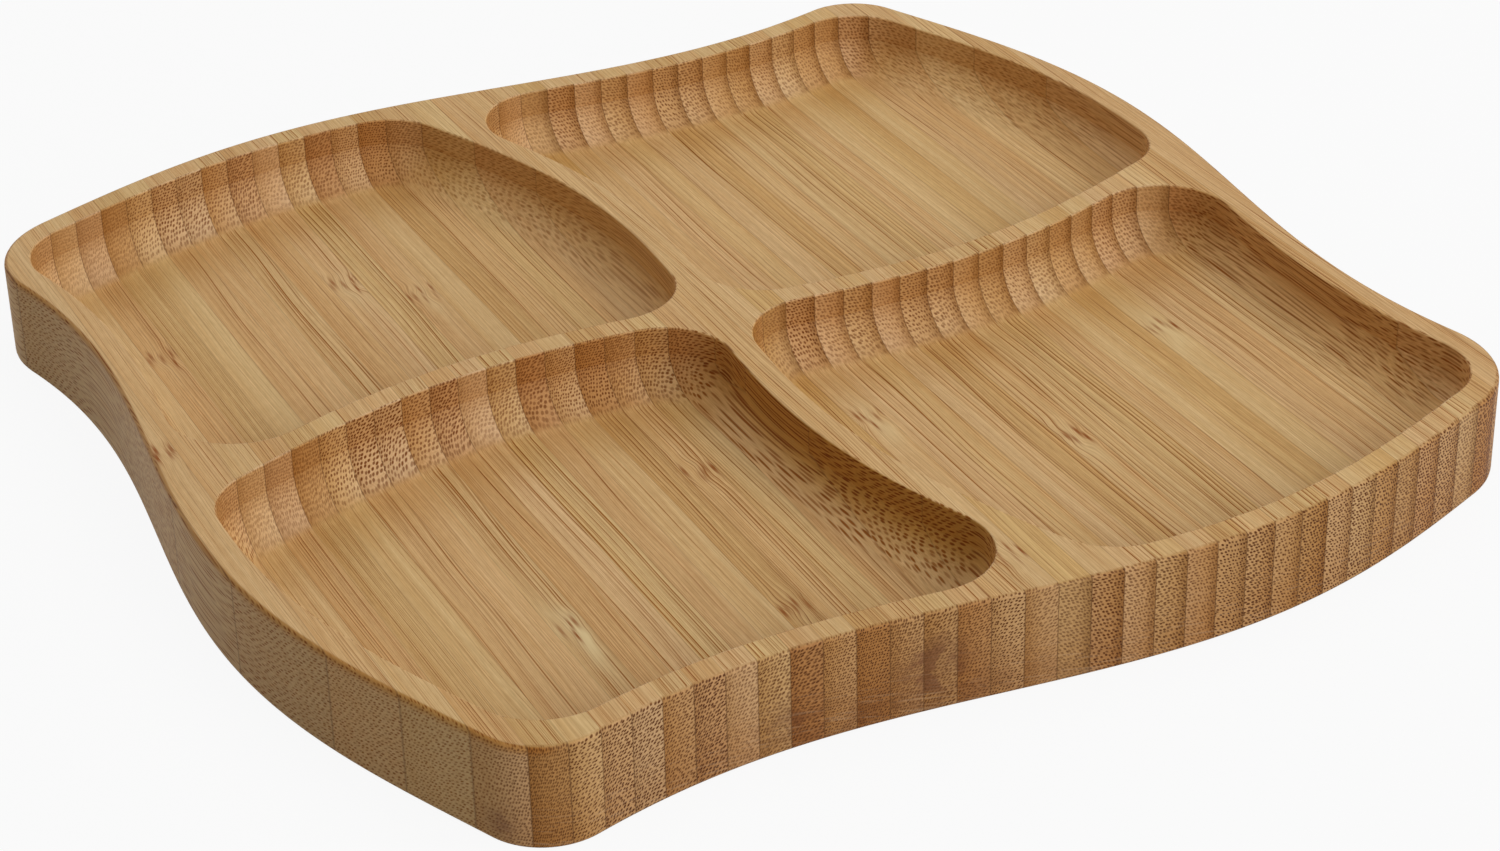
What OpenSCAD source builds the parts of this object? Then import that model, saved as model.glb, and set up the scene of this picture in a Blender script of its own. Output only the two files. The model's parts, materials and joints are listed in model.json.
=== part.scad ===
// Divided compartment plate: a wavy square of edge-glued bamboo strips with four scooped pockets.
// Units are millimetres. The plate lies on Z = 0 with its middle on the Z axis.
// The strips run along Y and lie side by side along X. Each strip is a sub-part of its own.

/* [Plate] */
// Distance from the middle of the plate to the mean line of each side
half_side = 114; // [95:1:140]
// Thickness of the plate
plate_height = 20; // [16:0.5:30]
// How far a side swings to each side of its mean line
wave_height = 9.5; // [4:0.5:12]
// Length of one full wave along a side
wave_length = 225; // [190:5:280]
// Distance between the wave of a side and the wave of the divider beside it
wave_shift = 20; // [5:1:35]
// Turn of the wavy square against the strips, in degrees
wave_turn = 8.2; // [2:0.1:12]
// Radius of the front and back corners of the outline
sharp_radius = 13; // [8:0.5:22]
// Radius of the left and right corners of the outline
soft_radius = 21; // [12:0.5:28]
// Rounding of the outer top and bottom edges
edge_round = 0.8; // [0.3:0.1:2]

/* [Pockets] */
// Width of the rim around the pockets
rim_width = 5.7; // [4:0.1:9]
// Width of the two dividers between the pockets
divider_width = 5.5; // [4:0.1:9]
// Sideways shift of the divider that runs along the strips
divider_offset = -2; // [-6:0.5:6]
// Depth of a pocket, from the rim to the flat floor
pocket_depth = 12.5; // [9:0.5:14]
// Height of the upright wall below the rim
wall_height = 5.6; // [3:0.1:7.5]
// Radius of the cove between wall and floor
cove_radius = 10; // [8:0.5:12]
// Radius of the pocket corners, seen from above
pocket_radius = 14; // [12:0.5:20]
// Bevel of the pocket rims
rim_bevel = 0.4; // [0.2:0.1:1]

/* [Strips] */
// Width of a strip
strip_width = 6.15; // [5.5:0.05:8]
// Distance from the middle of the plate to the nearest joint between strips
strip_offset = -0.9; // [-2:0.1:2]
// Least width of the outermost strips
least_edge_strip = 6; // [5:0.5:8]
// Least width of an outermost strip where its side dips
least_neck = 1.2; // [1:0.1:4]

/* [Output] */
// Sub-part to draw, or all of them

/* [Hidden] */
// Straight steps along one side, round one corner, up one cove and over one rounded edge
body_steps = 22;
pocket_steps = 13;
corner_steps = 6;
cove_steps = 4;
edge_steps = 2;
// Rounds of the search for the place where two curves meet
meeting_rounds = 16;
// How far a cutter rises above the plate, and how far an anchor stays clear of its strip
clearance = 1;

cove_rise = pocket_depth - wall_height;
cove_angle = acos(1 - cove_rise / cove_radius);
cove_reach = cove_radius * sin(cove_angle);
floor_height = plate_height - pocket_depth;

// A curve is [distance of its mean line from the middle, shift of its wave].
// Upright curves give X from Y, and level curves give Y from X.
left_side = [-half_side, wave_shift];
long_divider = [divider_offset, 0];
right_side = [half_side, -wave_shift];
front_side = [-half_side, -wave_shift];
cross_divider = [0, 0];
back_side = [half_side, wave_shift];

uprights = [left_side, long_divider, right_side];
levels = [front_side, cross_divider, back_side];

tone_colours = [[0.80, 0.65, 0.43], [0.73, 0.56, 0.35], [0.66, 0.47, 0.28]];
tone_pattern = [0, 1, 0, 2, 1, 0, 1, 1, 0, 2, 0];

function wave(t, shift) = wave_height * sin(360 * (t - shift) / wave_length);
function slope(t, shift) = wave_height * 2 * PI / wave_length * cos(360 * (t - shift) / wave_length);
function unit(v) = v / norm(v);

// Normals point to +X from an upright curve and to +Y from a level one.
function upright_normal(curve, y) = unit([1, -slope(y, curve[1])]);
function level_normal(curve, x) = unit([slope(x, curve[1]), 1]);
function upright_point(curve, y, offset) =
    [curve[0] + wave(y, curve[1]), y] + offset * upright_normal(curve, y);
function level_point(curve, x, offset) =
    [x, curve[0] - wave(x, curve[1])] + offset * level_normal(curve, x);

// The Y on an upright curve and the X on a level curve where the two meet, each moved by its offset.
function meeting(upright, upright_offset, level, level_offset, y, x, rounds = meeting_rounds) =
    rounds <= 0 ? [y, x] :
    let (
        p = upright_point(upright, y, upright_offset),
        q = level_point(level, x, level_offset)
    )
    meeting(upright, upright_offset, level, level_offset, y + q.y - p.y, x + p.x - q.x, rounds - 1);

// A column is [point on the outline, inward normal]: moving along the normal insets the outline.
// The inward direction is 1 towards +X or +Y and -1 towards -X or -Y.
function upright_columns(curve, inset, inward, y_from, y_to, steps) = [
    for (i = [0:steps])
        let (y = y_from + (y_to - y_from) * i / steps)
        [upright_point(curve, y, inward * inset), inward * upright_normal(curve, y)]
];
function level_columns(curve, inset, inward, x_from, x_to, steps) = [
    for (i = [0:steps])
        let (x = x_from + (x_to - x_from) * i / steps)
        [level_point(curve, x, inward * inset), inward * level_normal(curve, x)]
];
function heading(v) = atan2(v.y, v.x);
function corner_columns(centre, radius, normal_from, normal_to) =
    let (
        start = heading(-normal_from),
        sweep = (heading(-normal_to) - start + 360) % 360
    )
    [
        for (i = [1:corner_steps - 1])
            let (a = start + sweep * i / corner_steps, out = [cos(a), sin(a)])
            [centre + radius * out, -out]
    ];

// A closed outline between four curves, counter-clockwise from the lower end of the right curve.
// The insets are those of the left, right, front and back curves.
// The radii are those of the right-front, right-back, left-back and left-front corners.
function outline(left, right, front, back, insets, radii, steps) =
    let (
        rf = meeting(right, -insets[1] - radii[0], front, insets[2] + radii[0], front[0], right[0]),
        rb = meeting(right, -insets[1] - radii[1], back, -insets[3] - radii[1], back[0], right[0]),
        lb = meeting(left, insets[0] + radii[2], back, -insets[3] - radii[2], back[0], left[0]),
        lf = meeting(left, insets[0] + radii[3], front, insets[2] + radii[3], front[0], left[0]),
        right_columns = upright_columns(right, insets[1], -1, rf[0], rb[0], steps),
        back_columns = level_columns(back, insets[3], -1, rb[1], lb[1], steps),
        left_columns = upright_columns(left, insets[0], 1, lb[0], lf[0], steps),
        front_columns = level_columns(front, insets[2], 1, lf[1], rf[1], steps),
        rb_centre = upright_point(right, rb[0], -insets[1] - radii[1]),
        lb_centre = upright_point(left, lb[0], insets[0] + radii[2]),
        lf_centre = upright_point(left, lf[0], insets[0] + radii[3]),
        rf_centre = upright_point(right, rf[0], -insets[1] - radii[0])
    )
    concat(
        right_columns,
        corner_columns(rb_centre, radii[1], right_columns[steps][1], back_columns[0][1]),
        back_columns,
        corner_columns(lb_centre, radii[2], back_columns[steps][1], left_columns[0][1]),
        left_columns,
        corner_columns(lf_centre, radii[3], left_columns[steps][1], front_columns[0][1]),
        front_columns,
        corner_columns(rf_centre, radii[0], front_columns[steps][1], right_columns[0][1])
    );

function turned(v) = [
    v.x * cos(wave_turn) - v.y * sin(wave_turn),
    v.x * sin(wave_turn) + v.y * cos(wave_turn)
];
function turned_columns(columns) = [for (c = columns) [turned(c[0]), turned(c[1])]];

body_columns = turned_columns(outline(
    left_side, right_side, front_side, back_side, [0, 0, 0, 0],
    [soft_radius, sharp_radius, soft_radius, sharp_radius], body_steps
));

// Pocket outlines: i counts from left to right and j from front to back.
half_divider = divider_width / 2;
pockets = [
    for (i = [0, 1], j = [0, 1])
        turned_columns(outline(
            uprights[i], uprights[i + 1], levels[j], levels[j + 1],
            [
                i == 0 ? rim_width : half_divider,
                i == 0 ? half_divider : rim_width,
                j == 0 ? rim_width : half_divider,
                j == 0 ? half_divider : rim_width
            ],
            [pocket_radius, pocket_radius, pocket_radius, pocket_radius], pocket_steps
        ))
];

// Profiles are lists of [inset, height] from the bottom up.
body_profile = concat(
    [
        for (i = [0:edge_steps])
            let (a = 90 * i / edge_steps)
            [edge_round * (1 - sin(a)), edge_round * (1 - cos(a))]
    ],
    [
        for (i = [edge_steps:-1:0])
            let (a = 90 * i / edge_steps)
            [edge_round * (1 - sin(a)), plate_height - edge_round * (1 - cos(a))]
    ]
);
pocket_profile = concat(
    [
        for (i = [0:cove_steps])
            let (a = cove_angle * i / cove_steps)
            [cove_reach - cove_radius * sin(a), floor_height + cove_radius * (1 - cos(a))]
    ],
    [
        [0, plate_height - rim_bevel],
        [-rim_bevel - clearance, plate_height + clearance]
    ]
);

function rotated(columns, start) = [
    for (i = [0:len(columns) - 1]) columns[(i + start) % len(columns)]
];
// The greatest value that has lesser ones on both sides of it in the list, or else the least value.
function dip(values) =
    let (
        last = len(values) - 1,
        hollows = [
            for (i = [1:last - 1])
                let (
                    before = min([for (k = [0:i - 1]) values[k]]),
                    after = min([for (k = [i + 1:last]) values[k]])
                )
                if (values[i] > max(before, after)) values[i]
        ]
    )
    len(hollows) == 0 ? min(values) : max(hollows);

// Joints between the strips, and the slab that each strip fills.
// The outermost joints lie further in than the dips of the sides, so an outermost strip stays in one piece.
left_run = [for (c = body_columns) if (c[0].x < 0) c[0].x];
right_run = [for (c = rotated(body_columns, len(body_columns) / 2)) if (c[0].x > 0) c[0].x];
left_end = min(left_run);
right_end = max(right_run);
left_limit = max(left_end + least_edge_strip, dip(left_run) + least_neck);
right_limit = min(right_end - least_edge_strip, -dip(-right_run) - least_neck);
first_joint = ceil((left_limit - strip_offset) / strip_width);
last_joint = floor((right_limit - strip_offset) / strip_width);
joints = [for (k = [first_joint:last_joint]) strip_offset + k * strip_width];
edges = concat([left_end - clearance], joints, [right_end + clearance]);
strip_count = len(edges) - 1;

// The least and greatest X that a column takes over a range of insets.
function column_span(column, insets) =
    let (a = column[0].x + insets[0] * column[1].x, b = column[0].x + insets[1] * column[1].x)
    [min(a, b), max(a, b)];
function between(a, b, insets, x_from, x_to) =
    let (s = column_span(a, insets), t = column_span(b, insets))
    max(s[1], t[1]) > x_from && min(s[0], t[0]) < x_to;
function profile_insets(profile) =
    let (values = [for (p = profile) p[0]])
    [min(values), max(values)];
function middle(columns) =
    let (xs = [for (c = columns) c[0].x], ys = [for (c = columns) c[0].y])
    [(min(xs) + max(xs)) / 2, (min(ys) + max(ys)) / 2];

// The columns of an outline that bound one slab, in order, closed by an anchor on the far side of it.
// What is left out lies wholly outside the slab.
function slab_columns(columns, profile, x_from, x_to) =
    let (
        count = len(columns),
        insets = profile_insets(profile),
        centre = middle(columns),
        on_right = (x_from + x_to) / 2 > centre.x,
        // The count starts half way along the side across, and the left side comes two sides after the right.
        side_count = count / 4,
        start = floor(side_count / 2) + (on_right ? 2 * side_count : 0),
        ordered = rotated(columns, start),
        kept = [
            for (i = [1:count - 2])
                if (between(ordered[i - 1], ordered[i], insets, x_from, x_to)
                    || between(ordered[i], ordered[i + 1], insets, x_from, x_to))
                    ordered[i]
        ],
        anchor_x = on_right ? min(centre.x, x_from - clearance) : max(centre.x, x_to + clearance)
    )
    len(kept) < 3 ? [] : concat(kept, [[[anchor_x, centre.y], [0, 0]]]);

// A solid with one ring of points for each step of the profile.
module ring_stack(columns, profile) {
    count = len(columns);
    top = len(profile) - 1;
    anchor = count - 1;
    points = [
        for (step = profile, c = columns)
            [c[0].x + step[0] * c[1].x, c[0].y + step[0] * c[1].y, step[1]]
    ];
    sides = [
        for (k = [0:top - 1], i = [0:count - 1])
            let (a = k * count + i, b = k * count + (i + 1) % count)
            each [[a, a + count, b + count], [a, b + count, b]]
    ];
    caps = [
        for (i = [0:count - 3])
            each [
                [anchor, i, i + 1],
                [top * count + anchor, top * count + i + 1, top * count + i]
            ]
    ];
    polyhedron(points = points, faces = concat(sides, caps), convexity = 8);
}

// One strip: its slab of the plate, less the pockets that reach into it.
module strip(index) {
    x_from = edges[index];
    x_to = edges[index + 1];
    color(tone_colours[tone_pattern[index % len(tone_pattern)]])
        difference() {
            intersection() {
                translate([x_from, -2 * half_side, -clearance])
                    cube([x_to - x_from, 4 * half_side, plate_height + 2 * clearance]);
                ring_stack(slab_columns(body_columns, body_profile, x_from, x_to), body_profile);
            }
            for (pocket = pockets) {
                near = slab_columns(pocket, pocket_profile, x_from, x_to);
                if (len(near) > 0)
                    ring_stack(near, pocket_profile);
            }
        }
}

for (i = [0:strip_count - 1])
    strip(i);
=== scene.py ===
"""Looks of the divided compartment plate: bamboo strips with procedural grain on a pale studio floor.

The plate is drawn from the same curves as its solids, only finer, and cut at the same joints,
so each piece made here stands for one strip of the frame. Lengths are in metres.
"""

import json
import math
import random

import bmesh
import bpy
from mathutils import Matrix, Vector


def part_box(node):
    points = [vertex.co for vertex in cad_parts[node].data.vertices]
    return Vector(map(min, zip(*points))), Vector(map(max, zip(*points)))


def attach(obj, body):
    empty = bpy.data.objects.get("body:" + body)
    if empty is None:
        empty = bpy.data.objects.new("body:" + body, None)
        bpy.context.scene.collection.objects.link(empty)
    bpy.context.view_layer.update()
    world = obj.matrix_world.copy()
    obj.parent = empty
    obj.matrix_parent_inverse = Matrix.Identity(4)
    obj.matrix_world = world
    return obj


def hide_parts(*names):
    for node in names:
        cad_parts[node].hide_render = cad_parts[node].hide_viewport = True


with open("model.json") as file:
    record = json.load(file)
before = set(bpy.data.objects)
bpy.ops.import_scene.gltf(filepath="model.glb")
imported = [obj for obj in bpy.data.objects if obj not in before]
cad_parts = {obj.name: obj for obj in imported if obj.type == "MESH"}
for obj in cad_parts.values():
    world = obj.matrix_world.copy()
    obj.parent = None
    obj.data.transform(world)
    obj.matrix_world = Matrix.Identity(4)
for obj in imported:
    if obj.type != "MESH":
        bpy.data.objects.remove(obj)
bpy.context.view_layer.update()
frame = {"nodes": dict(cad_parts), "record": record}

MM = 0.001

# Plate, as in the solids
HALF_SIDE = 114 * MM
PLATE_HEIGHT = 20 * MM
WAVE_HEIGHT = 9.5 * MM
WAVE_LENGTH = 225 * MM
WAVE_SHIFT = 20 * MM
WAVE_TURN = math.radians(8.2)
SHARP_RADIUS = 13 * MM
SOFT_RADIUS = 21 * MM
EDGE_ROUND = 0.8 * MM

# Pockets, as in the solids
RIM_WIDTH = 5.7 * MM
DIVIDER_WIDTH = 5.5 * MM
DIVIDER_OFFSET = -2 * MM
POCKET_DEPTH = 12.5 * MM
WALL_HEIGHT = 5.6 * MM
COVE_RADIUS = 10 * MM
POCKET_RADIUS = 14 * MM
RIM_BEVEL = 0.4 * MM

# Strips, as in the solids
STRIP_WIDTH = 6.15 * MM
STRIP_OFFSET = -0.9 * MM

# Steps along a side of the plate, a side of a pocket, a corner, a cove and a rounded edge
BODY_STEPS = 110
POCKET_STEPS = 56
CORNER_STEPS = 18
COVE_STEPS = 10
EDGE_STEPS = 4

# Rings this far past a rounded edge keep the shading of the faces beside it flat
EDGE_HOLD = 0.15 * MM

MEETING_ROUNDS = 16
CUT_TOLERANCE = 1e-7

COVE_ANGLE = math.acos(1 - (POCKET_DEPTH - WALL_HEIGHT) / COVE_RADIUS)
COVE_REACH = COVE_RADIUS * math.sin(COVE_ANGLE)
FLOOR_HEIGHT = PLATE_HEIGHT - POCKET_DEPTH

# Strips with a knuckle, by strip number: where it lies along the strip and how pale it is
KNUCKLES = {
    1: (-2 * MM, 0.1),
    4: (55 * MM, 0.2),
    9: (-72 * MM, 1.0),
    11: (67 * MM, 0.3),
    13: (56 * MM, 0.3),
    15: (-85 * MM, 0.2),
    16: (-35 * MM, 0.1),
    20: (-104 * MM, 0.1),
    22: (-33 * MM, 0.4),
    27: (-58 * MM, 0.3),
    33: (-28 * MM, 0.45),
}

# Strips without one have it far outside the plate
NO_KNUCKLE = (1.0, 0.0)

# End grain of each strip from left to right: 1 is grey and pale, -1 is dark caramel
END_TONES = [
    -1.0, 0.5, 0.5, 0.8, -0.7, 0.1, 0.6, 1.0, -0.4, 0.4, 0.5, 0.2, -0.9,
    -0.4, -0.9, -0.1, -0.4, -0.5, 0.4, -0.2, 0.6, -0.5, 0.0, 0.2, -0.3, 0.4,
    0.2, -0.3, -0.4, 0.5, 0.4, 0.2, -0.3, -0.3, 0.4, 0.5, -0.3, -0.4,
]

# Up to this strip the dense side of a strip is its left one, and from then on its right one.
# On end grain the dense side is darker by these shares.
LAST_DENSE_ON_LEFT = 20
LEFT_EDGE_SHADE = 0.12
RIGHT_EDGE_SHADE = 0.3

# Weave of the fibre bundles up to each strip: how many times as many lie across as elsewhere,
# and how many times as far apart their rows are
WEAVES = {5: (1.9, 1.0), 13: (1.0, 1.0), 16: (1.35, 0.82), 20: (1.1, 0.88), 38: (1.0, 1.0)}

# Scorch marks low on the front side: middle across and up, reach each way, and depth.
# None show further back than the limit.
SCORCHES = [
    (-17.5 * MM, 8.5 * MM, 6 * MM, 6 * MM, 1.5),
    (-44 * MM, 5.5 * MM, 7 * MM, 4 * MM, 0.8),
    (-22 * MM, 1.5 * MM, 34 * MM, 7 * MM, 0.6),
    (-97.3 * MM, 4 * MM, 1.5 * MM, 3 * MM, 1.8),
]
SCORCH_LIMIT = -70 * MM

# The wall between the left and right pockets is a deeper gold round these places along it
AMBER_REACH = (14 * MM, 50 * MM)
AMBERS = {-55 * MM: 1.0, 55 * MM: 0.3}

# At the foot of each pocket's back wall the grain is a deeper gold: it sets in and fades out between
# these distances from the wall, lies above the bottom, and fades out towards the top
GOLD_START = (3 * MM, 9 * MM)
GOLD_END = (27 * MM, 11 * MM)
GOLD_BOTTOM = 4 * MM
GOLD_TOP = (17 * MM, 13 * MM)

# Knuckles: reach of the swerving fibres along the strip, the pale flame and the brown dashes
SWERVE_REACH = 6.5 * MM
FLAME_REACH = 9 * MM
FLAME_AHEAD = -3 * MM
FLAME_WIDTH = 0.3
FLAME_PALENESS = (0.0, 0.8)
DASH_REACH = 2.3 * MM
DASH_SPREAD = 5 * MM
DASHES_ACROSS = 5.0
DASH_EDGE = (0.4, 0.14)
DASH_VIGOUR = (0.5, 1.2)
DASH_SHARE = 0.9

# Start of the random draws, and how far up from 0 each strip's own seed is drawn
SEED = 7
SEED_RANGE = 3


class Curve:
    """A wavy line. An upright one gives X from Y and a level one gives Y from X."""

    def __init__(self, middle, shift, upright):
        self.middle = middle
        self.shift = shift
        self.upright = upright

    def sway(self, t):
        return WAVE_HEIGHT * math.sin(2 * math.pi * (t - self.shift) / WAVE_LENGTH)

    def slope(self, t):
        turn = 2 * math.pi / WAVE_LENGTH
        return WAVE_HEIGHT * turn * math.cos(turn * (t - self.shift))

    def normal(self, t):
        """Towards +X from an upright curve and towards +Y from a level one."""
        if self.upright:
            return Vector((1, -self.slope(t))).normalized()
        return Vector((self.slope(t), 1)).normalized()

    def point(self, t, offset):
        if self.upright:
            start = Vector((self.middle + self.sway(t), t))
        else:
            start = Vector((t, self.middle - self.sway(t)))
        return start + offset * self.normal(t)

    def columns(self, inset, inward, start, end, steps):
        """Points along the curve, each with its inward normal."""
        places = [start + (end - start) * i / steps for i in range(steps + 1)]
        return [(self.point(t, inward * inset), inward * self.normal(t)) for t in places]


UPRIGHTS = [
    Curve(-HALF_SIDE, WAVE_SHIFT, True),
    Curve(DIVIDER_OFFSET, 0, True),
    Curve(HALF_SIDE, -WAVE_SHIFT, True),
]
LEVELS = [
    Curve(-HALF_SIDE, -WAVE_SHIFT, False),
    Curve(0, 0, False),
    Curve(HALF_SIDE, WAVE_SHIFT, False),
]


def meeting(upright, upright_offset, level, level_offset):
    """Where two curves meet, each moved by its offset: Y on the upright one and X on the level one."""
    y = level.middle
    x = upright.middle
    for _ in range(MEETING_ROUNDS):
        p = upright.point(y, upright_offset)
        q = level.point(x, level_offset)
        y += q.y - p.y
        x += p.x - q.x
    return y, x


def corner_columns(centre, radius, normal_from, normal_to):
    """Points round a corner between two sides, without the ends."""
    start = math.atan2(-normal_from.y, -normal_from.x)
    sweep = (math.atan2(-normal_to.y, -normal_to.x) - start) % (2 * math.pi)
    columns = []
    for i in range(1, CORNER_STEPS):
        angle = start + sweep * i / CORNER_STEPS
        out = Vector((math.cos(angle), math.sin(angle)))
        columns.append((centre + radius * out, -out))
    return columns


def outline(left, right, front, back, insets, radii, steps):
    """Closed outline between four curves, counter-clockwise, turned against the strips.

    insets are those of the left, right, front and back curves, and radii those of the
    right-front, right-back, left-back and left-front corners.
    """
    in_left, in_right, in_front, in_back = insets
    rf = meeting(right, -in_right - radii[0], front, in_front + radii[0])
    rb = meeting(right, -in_right - radii[1], back, -in_back - radii[1])
    lb = meeting(left, in_left + radii[2], back, -in_back - radii[2])
    lf = meeting(left, in_left + radii[3], front, in_front + radii[3])
    right_run = right.columns(in_right, -1, rf[0], rb[0], steps)
    back_run = back.columns(in_back, -1, rb[1], lb[1], steps)
    left_run = left.columns(in_left, 1, lb[0], lf[0], steps)
    front_run = front.columns(in_front, 1, lf[1], rf[1], steps)
    corners = [
        (right.point(rb[0], -in_right - radii[1]), radii[1], right_run, back_run),
        (left.point(lb[0], in_left + radii[2]), radii[2], back_run, left_run),
        (left.point(lf[0], in_left + radii[3]), radii[3], left_run, front_run),
        (right.point(rf[0], -in_right - radii[0]), radii[0], front_run, right_run),
    ]
    columns = []
    for centre, radius, before, after in corners:
        columns += before + corner_columns(centre, radius, before[-1][1], after[0][1])
    turn = Matrix.Rotation(WAVE_TURN, 2)
    return [(turn @ point, turn @ normal) for point, normal in columns]


def body_outline():
    radii = [SOFT_RADIUS, SHARP_RADIUS, SOFT_RADIUS, SHARP_RADIUS]
    return outline(UPRIGHTS[0], UPRIGHTS[2], LEVELS[0], LEVELS[2], [0] * 4, radii, BODY_STEPS)


def pocket_outline(i, j):
    """Outline of a pocket: i counts from left to right and j from front to back."""
    near = DIVIDER_WIDTH / 2
    insets = [
        near if i else RIM_WIDTH,
        RIM_WIDTH if i else near,
        near if j else RIM_WIDTH,
        RIM_WIDTH if j else near,
    ]
    radii = [POCKET_RADIUS] * 4
    return outline(UPRIGHTS[i], UPRIGHTS[i + 1], LEVELS[j], LEVELS[j + 1], insets, radii, POCKET_STEPS)


def quarter_round(radius):
    """Steps of a rounded edge: distance in from the side and distance down from the top."""
    angles = [math.pi / 2 * i / EDGE_STEPS for i in range(EDGE_STEPS + 1)]
    return [(radius * (1 - math.sin(a)), radius * (1 - math.cos(a))) for a in angles]


def body_profile():
    """Inset and height of each ring of the outside, from the bottom up."""
    edge = quarter_round(EDGE_ROUND) + [(0, EDGE_ROUND + EDGE_HOLD)]
    upper = [(inset, PLATE_HEIGHT - drop) for inset, drop in reversed(edge)]
    return edge + upper


def pocket_profile():
    """Inset and height of each ring of a pocket, from the rim down, and which ring is the crease."""
    edge = quarter_round(RIM_BEVEL) + [(0, RIM_BEVEL + EDGE_HOLD)]
    rings = [(-inset, PLATE_HEIGHT - drop) for inset, drop in edge]
    crease = len(rings)
    for i in range(COVE_STEPS + 1):
        angle = COVE_ANGLE * (1 - i / COVE_STEPS)
        inset = COVE_REACH - COVE_RADIUS * math.sin(angle)
        rings.append((inset, FLOOR_HEIGHT + COVE_RADIUS * (1 - math.cos(angle))))
    return rings, crease


def add_rings(mesh, columns, profile):
    """Rings of points along a profile with smooth faces between them."""
    rings = []
    for inset, height in profile:
        places = [point + inset * normal for point, normal in columns]
        rings.append([mesh.verts.new((p.x, p.y, height)) for p in places])
    for lower, upper in zip(rings, rings[1:]):
        for i in range(len(columns)):
            before = i - 1
            face = mesh.faces.new((lower[before], lower[i], upper[i], upper[before]))
            face.smooth = True
    return rings


def ring_edges(mesh, ring):
    return [mesh.edges.get((ring[i - 1], ring[i])) for i in range(len(ring))]


def fill_flat(mesh, edges):
    """A flat face inside closed loops of edges, with any inner loops left open."""
    bmesh.ops.triangle_fill(mesh, use_beauty=True, edges=edges)


def build_plate():
    """The whole plate as one closed surface."""
    mesh = bmesh.new()
    outer = mesh.verts.layers.float.new("outer")
    outside = add_rings(mesh, body_outline(), body_profile())
    for ring in outside[1:-1]:
        for vertex in ring:
            vertex[outer] = 1.0
    fill_flat(mesh, ring_edges(mesh, outside[0]))
    top_edges = ring_edges(mesh, outside[-1])
    rings, crease = pocket_profile()
    for i in (0, 1):
        for j in (0, 1):
            pocket = add_rings(mesh, pocket_outline(i, j), rings)
            for edge in ring_edges(mesh, pocket[crease]):
                edge.smooth = False
            top_edges += ring_edges(mesh, pocket[0])
            fill_flat(mesh, ring_edges(mesh, pocket[-1]))
    fill_flat(mesh, top_edges)
    return mesh


def keep_side(mesh, joint, left):
    """Cut the mesh at a joint, keep one side and close the cut with a flat face."""
    everything = mesh.verts[:] + mesh.edges[:] + mesh.faces[:]
    cut = bmesh.ops.bisect_plane(
        mesh, geom=everything, dist=CUT_TOLERANCE, plane_co=(joint, 0, 0), plane_no=(1, 0, 0),
        clear_outer=left, clear_inner=not left,
    )
    border = [item for item in cut["geom_cut"] if isinstance(item, bmesh.types.BMEdge)]
    bmesh.ops.contextual_create(mesh, geom=border)
    for edge in border:
        edge.smooth = False


def split_strips(mesh, joints):
    """The plate cut at every joint, from left to right."""
    if not joints:
        return [mesh]
    middle = len(joints) // 2
    left = mesh.copy()
    keep_side(left, joints[middle], True)
    keep_side(mesh, joints[middle], False)
    return split_strips(left, joints[:middle]) + split_strips(mesh, joints[middle + 1:])


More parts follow.
